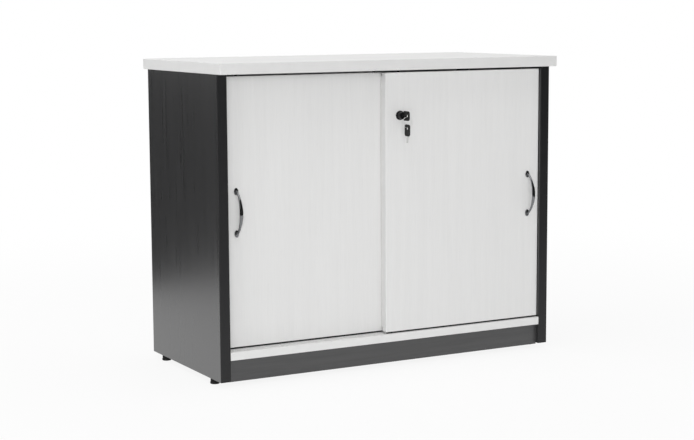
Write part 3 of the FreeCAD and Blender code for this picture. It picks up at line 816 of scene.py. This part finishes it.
# %% Lock rotor
rotor_rounding = 0.0004
keyway_size = (0.0020, 0.030, 0.0062)

keyhole = Vector((lock_axis.x, rotor_low.y, lock_axis.z))
rotor = rod("lock_rotor_turned", "Y", rotor_low.y, rotor_high.y, rotor_radius, 48, lock_axis)
round_rim("Y", rotor_low.y, rotor_rounding, 3)
close_piece(rotor)
cut_away(rotor, block("keyway", keyway_size, keyhole))
dress(rotor, "black_lock", "turning_key", "lock_rotor")

# %% [markdown]
# ## Keys
#
# A cupboard key is a stamped steel blade with a moulded black head. The head is a flat block with
# large round corners, a soft edge all round, a shallow panel on each face and a hole for the ring. The
# blade gets a groove along each side and a row of cuts, which is what makes it read as a key. Both are
# modelled once, with the blade pointing along +Y from the keyhole, and copied: one key is in the lock,
# and the other hangs from the ring, turned to point down.

# %% Key head
head_gap = 0.0006
head_corner = 0.006
head_edge = 0.0006
flat_limit = 0.99
panel_inset = 0.0013
panel_sink = 0.0003
eye_radius = 0.0030
eye_edge = 0.0005
eye_from_end = 0.0095

low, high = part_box("lock_key_bow")
head_thick, head_length = (high - low).xy
eye_y = -head_gap - head_length + eye_from_end
head = block("key_head", high - low, (0.0, -head_gap - head_length / 2, 0.0))
pick("edges", lambda e: span(e, "X") > head_thick / 2)
bevel(head_corner, 8)
pick("edges", lambda e: abs(e.verts[0].co.x + e.verts[1].co.x) > head_thick / 2)
bevel(head_edge, 3)
pick("faces", lambda f: abs(f.normal.x) > flat_limit)
bpy.ops.mesh.inset(thickness=panel_inset, depth=-panel_sink)
close_piece(head)
cut_away(head, rod("eye", "X", -head_thick, head_thick, eye_radius, 32, (0.0, eye_y, 0.0)))
bpy.ops.object.mode_set(mode="EDIT")
pick(
    "edges",
    lambda e: all(abs(math.hypot(v.co.y - eye_y, v.co.z) - eye_radius) < 2 * same_place for v in e.verts)
    and span(e, "X") < head_edge,
)
bevel(eye_edge, 3)
close_piece(head)
print("key head", len(head.data.polygons), "faces")

# %% Key blade
blade_thick = 0.0018
blade_tall = 0.006
blade_length = 0.015
tang_length = 0.0012
tip_slope = 0.0016
groove_size = (0.0008, 0.017, 0.0010)
groove_y = 0.0095
groove_z = 0.0006
file_width = 0.003
cuts = (
    # distance from the keyhole, depth
    (0.0032, 0.0009),
    (0.0058, 0.0014),
    (0.0084, 0.0006),
    (0.0110, 0.0012),
)

blade_back = -head_gap - tang_length
blade_size = (blade_thick, blade_length - blade_back, blade_tall)
blade = block("key_blade", blade_size, (0.0, (blade_back + blade_length) / 2, 0.0))
pick("edges", lambda e: lies_at(e, "Y", blade_length) and span(e, "Z") < same_place)
bevel(tip_slope, 1)
close_piece(blade)
for side in (-1, 1):
    groove_place = (side * blade_thick / 2, groove_y, side * groove_z)
    cut_away(blade, block("groove", groove_size, groove_place))
for y, depth in cuts:
    for side in (-1, 1):
        bpy.ops.mesh.primitive_cube_add(
            size=file_width,
            location=(0.0, y, side * (blade_tall / 2 + file_width / math.sqrt(2.0) - depth)),
            rotation=(math.pi / 4, 0.0, 0.0),
        )
        cut_away(blade, bpy.context.object)
bpy.ops.object.mode_set(mode="EDIT")
close_piece(blade, sharp_angle=20.0)
print("key blade", len(blade.data.polygons), "faces")

# %% Keys in place
low, high, middle = drawn("spare_key_bow")
spare_place = Vector((middle.x, middle.y, low.z - head_gap))
hanging = Matrix.Translation(spare_place) @ Matrix.Rotation(-math.pi / 2, 4, "X")
inserted = Matrix.Translation(keyhole)
for key, body, place in (("lock_key", "turning_key", inserted), ("spare_key", "spare_key", hanging)):
    dress(copy_of(head, key + "_head", place), "black_plastic", body, key + "_bow")
    dress(copy_of(blade, key + "_cut_blade", place), "bright_steel", body, key + "_blade")
bpy.data.objects.remove(head)
bpy.data.objects.remove(blade)

# %% [markdown]
# ## Coils: key ring and springs
#
# A split ring and a coil spring are the same thing to Blender: a small circle carried round an axis
# while it climbs. The Screw modifier does that. The circle is drawn beside the axis at the origin, the
# modifier is applied, the two open ends are filled, and only then is the mesh moved to its place.

# %% Key ring
wire_sides = 12
steps_per_turn = 48
ring_wire = 0.00038
ring_rise = 0.0012
ring_turns = 2


def coil(name, axis, coil_radius, wire_radius, rise, turns, place):
    """Wire wound round Y or Z through a point, starting at one end and rising along the axis."""
    bpy.ops.mesh.primitive_circle_add(
        vertices=wire_sides,
        radius=wire_radius,
        location=(coil_radius, 0.0, 0.0),
        rotation=(math.pi / 2 if axis == "Z" else 0.0, 0.0, 0.0),
    )
    wire = open_piece(name)
    bpy.ops.object.mode_set(mode="OBJECT")
    apply_modifier(
        wire,
        "SCREW",
        axis=axis,
        screw_offset=rise / turns,
        iterations=turns,
        steps=steps_per_turn,
        render_steps=steps_per_turn,
    )
    bpy.ops.object.mode_set(mode="EDIT")
    pick("edges", lambda e: e.is_boundary)
    bpy.ops.mesh.edge_face_add()
    bpy.ops.mesh.select_all(action="SELECT")
    bpy.ops.transform.translate(value=place)
    return close_piece(wire, sharp_angle=60.0)


low, high, ring_middle = drawn("key_ring")
ring_radius = (high.z - low.z) / 2 - 2 * ring_wire
ring_start = ring_middle - Vector((0.0, ring_rise / 2, 0.0))
ring = coil("split_ring", "Y", ring_radius, ring_wire, ring_rise, ring_turns, ring_start)
dress(ring, "bright_steel", "ring", "key_ring")

# %% Springs
door_ends = [(door, door + "_" + end) for door in doors for end in ("left", "right")]
guide_wire = 0.0006
guide_turns = 6
lock_wire = 0.00045
lock_turns = 4

for door, door_end in door_ends:
    node = door_end + "_guide_spring"
    low, high, middle = drawn(node)
    length = high.z - low.z
    base = Vector((middle.x, middle.y, low.z + guide_wire))
    radius = (high.x - low.x) / 2 - guide_wire
    spring = coil(node + "_coil", "Z", radius, guide_wire, length - 2 * guide_wire, guide_turns, base)
    dress(spring, "bright_steel", door, node)
    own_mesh(spring)

low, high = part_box("lock_spring")
length = high.y - low.y
base = Vector((lock_axis.x, low.y + lock_wire, lock_axis.z))
radius = (high.x - low.x) / 2 - lock_wire
spring = coil("lock_spring_coil", "Y", radius, lock_wire, length - 2 * lock_wire, lock_turns, base)
dress(spring, "bright_steel", "right_door", "lock_spring")
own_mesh(spring)

# %% [markdown]
# ## Levelling feet
#
# The cabinet stands on four black glides that are screwed into the sides. Each is a moulded pad with
# a fluted grip above it, so that fingers can turn it, and a stem as thick as a steel bolt. The flutes
# are every third face of the grip, inset one by one and pushed in. One foot is modelled on the floor
# at the origin and copied to the four places.

# %% Feet
pad_height = 0.005
pad_rounding = 0.0014
grip_sides = 48
grip_inset = 0.0002
flute_every = 3
flute_edge = 0.00025
flute_depth = 0.0008
stem_radius = 0.004

low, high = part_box("front_left_foot")
pad_radius = (high.x - low.x) / 2
grip_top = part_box("left_side_panel")[0].z
foot = rod("levelling_foot", "Z", 0.0, pad_height, pad_radius, grip_sides)
for z in (0.0, pad_height):
    round_rim("Z", z, pad_rounding, 3)
pick_facing("Z", 1, lambda middle: middle.z > pad_height / 2)
bpy.ops.mesh.inset(thickness=grip_inset)
extrude((0.0, 0.0, grip_top - pad_height))
pick(
    "faces",
    lambda f: abs(f.normal.z) < 1.0 - facing_limit
    and f.calc_center_median().z > pad_height
    and round(math.atan2(f.normal.y, f.normal.x) / (2 * math.pi) * grip_sides - 0.5) % flute_every == 0,
)
bpy.ops.mesh.inset(thickness=flute_edge, depth=-flute_depth, use_individual=True)
pick_end("Z", grip_top, 1)
bpy.ops.mesh.inset(thickness=pad_radius - pad_rounding - stem_radius)
extrude((0.0, 0.0, high.z - grip_top))
close_piece(foot)
for name in ("front_left_foot", "front_right_foot", "rear_left_foot", "rear_right_foot"):
    low, high, middle = drawn(name)
    place = Matrix.Translation((middle.x, middle.y, 0.0))
    dress(copy_of(foot, name + "_glide", place), "black_plastic", name + "_body", name)
bpy.data.objects.remove(foot)

# %% [markdown]
# ## Door wheels
#
# Each door rolls on two nylon wheels in its bottom edge. A moulded wheel is never a plain disc: it has a
# rim, a thin web with lightening holes, and a hub. Both sides are worked in the same way, by insets
# that mark the rim and hub and extrudes that sink the web between them. The tread's edges are bevelled
# to run in the groove.

# %% Wheels
rim_width = 0.0035
tread_rounding = 0.0007
web_sink = 0.0012
web_hole_radius = 0.0024
web_hole_count = 6
hub_radius = 0.005
axle_hole_radius = 0.00205

low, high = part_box("left_door_left_wheel")
wheel_radius = (high.z - low.z) / 2
half_width = (high.y - low.y) / 2
wheel = rod("nylon_wheel", "Y", -half_width, half_width, wheel_radius)
for way in (-1, 1):
    pick_end("Y", way * half_width, way)
    bpy.ops.mesh.inset(thickness=rim_width)
    extrude((0.0, -way * web_sink, 0.0))
    bpy.ops.mesh.inset(thickness=wheel_radius - rim_width - hub_radius)
    extrude((0.0, way * web_sink, 0.0))
pick(
    "edges",
    lambda e: all(math.hypot(v.co.x, v.co.z) > wheel_radius - same_place for v in e.verts)
    and span(e, "Y") < same_place,
)
bevel(tread_rounding, 3)
close_piece(wheel)
web_radius = (wheel_radius - rim_width + hub_radius) / 2
holes = [(0.0, 0.0, axle_hole_radius)]
for step in range(web_hole_count):
    turn = 2 * math.pi * step / web_hole_count
    holes.append((web_radius * math.cos(turn), web_radius * math.sin(turn), web_hole_radius))
drill_reach = half_width + drill_past
for x, z, radius in holes:
    cut_away(wheel, rod("drill", "Y", -drill_reach, drill_reach, radius, 24, (x, 0.0, z)))
bpy.ops.object.mode_set(mode="EDIT")
close_piece(wheel)
for door, door_end in door_ends:
    node = door_end + "_wheel"
    rolled = copy_of(wheel, node + "_moulded", Matrix.Translation(drawn(node)[2]))
    dress(rolled, "white_nylon", node + "_body", node)
bpy.data.objects.remove(wheel)

# %% [markdown]
# ## Dust brushes
#
# A sliding door leaves a gap below it, and another between it and the door behind. Strips of pile
# close both: black under the doors, and pale behind the front door's leading edge. The black pile is
# partly painted shade, a black line where the gap under each door is shaded, and the pale pile is
# painted light, a pale fill where the gap between the doors would be shaded. A strip is a thin rail
# with hundreds of tufts. The rail is a block that is cut into short lengths, in two passes because
# Blender limits the cuts in one, and every length's face is inset on its own and drawn out into a tuft.
# Every other tuft is a little shorter, because an even row would look like a comb.

# %% Floor brushes
rail_height = 0.0008
rail_sections = 16
tufts_per_section = 15
tuft_gap = 0.00006
tuft_ragged = 0.00025
tuft_clearance = 0.0003
floor_rail_width = 0.0020
floor_rail_inset = 0.0009
floor_end_gap = 0.002


def pile_strip(name, length, width, pile_length):
    """Rail along +X from the origin, with its back at z 0 and its tufts hanging below it."""
    strip = block(name, (length, width, rail_height), (length / 2, 0.0, -rail_height / 2))
    tufts = rail_sections * tufts_per_section
    for lengths in (rail_sections, tufts_per_section):
        pick("edges", lambda e: span(e, "X") > length / tufts / 2)
        bpy.ops.mesh.subdivide(number_cuts=lengths - 1)
    pick_facing("Z", -1)
    bpy.ops.mesh.inset(thickness=tuft_gap, use_individual=True)
    extrude((0.0, 0.0, -pile_length))
    tips = -rail_height - pile_length + same_place
    pick_facing("Z", -1, lambda middle: middle.z < tips and int(middle.x / length * tufts) % 2 == 0)
    bpy.ops.transform.translate(value=(0.0, 0.0, tuft_ragged))
    return close_piece(strip)


low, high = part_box("left_door_edge_bands")
floor_pile = low.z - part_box("bottom_track")[1].z - rail_height - tuft_clearance
floor_brush = pile_strip("floor_brush", high.x - low.x - 2 * floor_end_gap, floor_rail_width, floor_pile)
# The black pile is partly painted shade: it makes a black line in the gap under each door, where that gap
# is shaded.
for door in doors:
    low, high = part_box(door + "_edge_bands")
    seat = Vector((low.x + floor_end_gap, low.y + floor_rail_inset + floor_rail_width / 2, low.z))
    dress(copy_of(floor_brush, door + "_floor_brush", Matrix.Translation(seat)), "black_plastic", door)
bpy.data.objects.remove(floor_brush)

# %% Seam brush
seam_rail_width = 0.005
seam_rail_inset = 0.001
seam_end_gap = 0.010
seam_clearance = 0.001

low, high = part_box("right_door_edge_bands")
seam_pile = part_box("left_door_edge_bands")[0].y - high.y - rail_height - seam_clearance
seam_brush = pile_strip("seam_brush", high.z - low.z - 2 * seam_end_gap, seam_rail_width, seam_pile)
seat = Vector((low.x + seam_rail_inset + seam_rail_width / 2, high.y, low.z + seam_end_gap))
upright = Matrix(((0.0, -1.0, 0.0), (0.0, 0.0, -1.0), (1.0, 0.0, 0.0))).to_4x4()
# The pale pile is painted light: it fills the shaded gap between the doors with a pale colour, so that the
# seam shows no dark line.
leading_brush = copy_of(seam_brush, "right_door_seam_brush", Matrix.Translation(seat) @ upright)
dress(leading_brush, "white_nylon", "right_door")
bpy.data.objects.remove(seam_brush)

# %% [markdown]
# ## Cams
#
# The boards are pulled together by cast cams. Four of them show on the cabinet's back, and others
# inside and underneath. A cam's face is a shallow dish with a cross for the screwdriver. It is modelled
# with its mouth at the origin and its body along +Z, and a matrix of three directions turns each copy
# into its board.

# %% Cam
cam_radius = 0.0075
cam_depth = 0.0125
cam_edge = 0.0004
cam_rim = 0.0013
cam_dish = 0.0005
cam_cross = (0.0100, 0.0025, 0.0021)

cam = rod("cam", "Z", 0.0, cam_depth, cam_radius, sides=48)
round_rim("Z", 0.0, cam_edge, 2)
pick_end("Z", 0.0, -1)
bpy.ops.mesh.inset(thickness=cam_rim - cam_edge)
extrude((0.0, 0.0, cam_dish))
close_piece(cam)
cross_recess(cam, cam_cross, (0.0, 0.0, 0.0), Matrix.Rotation(-math.pi / 2, 4, "X"))
print("cam", len(cam.data.polygons), "faces")

# %% Cams in place
cam_from_end = 0.024
cam_below_top = 0.024
joint_from_edge = 0.080
back_joint_heights = (0.114, 0.605)

side_low, side_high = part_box("right_side_panel")
inner_face = side_low.x
base_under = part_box("base_panel")[0].z
back_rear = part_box("back_panel")[1].y
side_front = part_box("side_edge_bands")[0].y
kick_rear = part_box("kickboard")[1].y
kick_middle = drawn("kickboard")[2]
seats = []
for hand in (-1, 1):
    from_end = hand * (inner_face - cam_from_end)
    for y in (side_front + joint_from_edge, side_high.y - joint_from_edge):
        seats.append(((hand * inner_face, y, side_high.z - cam_below_top), (hand, 0, 0), (0, 0, -1)))
        seats.append(((from_end, y, base_under), (0, 0, 1), (-hand, 0, 0)))
    for z in back_joint_heights:
        seats.append(((from_end, back_rear, z), (0, -1, 0), (-hand, 0, 0)))
    seats.append(((from_end, kick_rear, kick_middle.z), (0, -1, 0), (-hand, 0, 0)))
cams = []
for mouth, inward, forward in seats:
    inward, forward = Vector(inward), Vector(forward)
    turn = Matrix((forward, inward.cross(forward), inward)).transposed().to_4x4()
    cams.append(copy_of(cam, "cam_copy", Matrix.Translation(mouth) @ turn))
bpy.data.objects.remove(cam)
dress(join_pieces(cams, "cast_cams"), "zinc", "carcass", "cam_housings")

# %% [markdown]
# ## Shelf pins and keeper
#
# The shelf lies on four pressed steel pins, each with a peg in a drilled hole and a flat spade under
# the board. The lock's keeper is a steel plate with round corners on the rear door's edge, held by two
# countersunk screws. Blocks with bevelled edges and turned pegs make both.

# %% Shelf pins
peg_radius = 0.0024
peg_length = 0.011
peg_edge = 0.0006
spade_reach = 0.009
spade_width = 0.010
spade_corner = 0.003
spade_edge = 0.0004
sharp_turn = 1.0

low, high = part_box("shelf_pins")
shelf_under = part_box("shelf")[0].z
spade_height = high.z - low.z
spade_length = inner_face - (high.x - peg_length) + spade_reach
spade = block("pin_spade", (spade_length, spade_width, spade_height), (-spade_length / 2, 0.0, 0.0))
pick("edges", lambda e: lies_at(e, "X", -spade_length) and span(e, "Z") > spade_height / 2)
bevel(spade_corner, 5)
pick("edges", lambda e: e.calc_face_angle() > sharp_turn)
bevel(spade_edge, 2)
close_piece(spade)
peg = rod("pin_peg", "X", 0.0, peg_length, peg_radius, sides=32)
round_rim("X", peg_length, peg_edge, 2)
close_piece(peg)
pin = join_pieces([spade, peg], "shelf_pin")
pins = []
for hand, turn in ((-1, math.pi), (1, 0.0)):
    for y in (low.y + spade_width / 2, high.y - spade_width / 2):
        seat = Matrix.Translation((hand * inner_face, y, shelf_under - spade_height / 2))
        pins.append(copy_of(pin, "shelf_pin_copy", seat @ Matrix.Rotation(turn, 4, "Z")))
bpy.data.objects.remove(pin)
dress(join_pieces(pins, "pressed_shelf_pins"), "bright_steel", "carcass", "shelf_pins")

# %% Keeper
plate_corner = 0.003
plate_edge = 0.0004
sink_radius = 0.003
sink_gap = 0.0001
keeper_screw_radius = 0.0015
keeper_screw_length = 0.016
keeper_screw_spacing = 0.018


def countersink(name, seat, gap):
    """Cone as deep as the plate, with its wide end at a seat on the plate's face, opened for editing."""
    bpy.ops.mesh.primitive_cone_add(
        vertices=32,
        radius1=keeper_screw_radius + gap,
        radius2=sink_radius + gap,
        depth=plate_thickness + gap,
        location=seat - Vector(((plate_thickness - gap) / 2, 0.0, 0.0)),
        rotation=rod_turns["X"],
    )
    return open_piece(name)


low, high, middle = drawn("lock_keeper")
plate_thickness = high.x - low.x
plate = block("keeper_plate", high - low, middle)
pick("edges", lambda e: span(e, "X") > plate_thickness / 2)
bevel(plate_corner, 5)
round_rim("X", high.x, plate_edge, 2)
close_piece(plate)
screw_y = drawn("lock_keeper_screws")[2].y
countersunk = []
for way in (-1, 1):
    seat = Vector((high.x, screw_y, middle.z + way * keeper_screw_spacing / 2))
    cut_away(plate, close_piece(countersink("sink", seat, sink_gap)))
    screw = countersink("countersunk_screw", seat, 0.0)
    pick_facing("X", -1)
    extrude((plate_thickness - keeper_screw_length, 0.0, 0.0))
    close_piece(screw)
    cross_recess(screw, screw_cross, seat, Matrix.Rotation(-math.pi / 2, 4, "Z"))
    countersunk.append(screw)
dress(plate, "bright_steel", "left_door", "lock_keeper")
dress(join_pieces(countersunk, "keeper_screws"), "bright_steel", "left_door", "lock_keeper_screws")
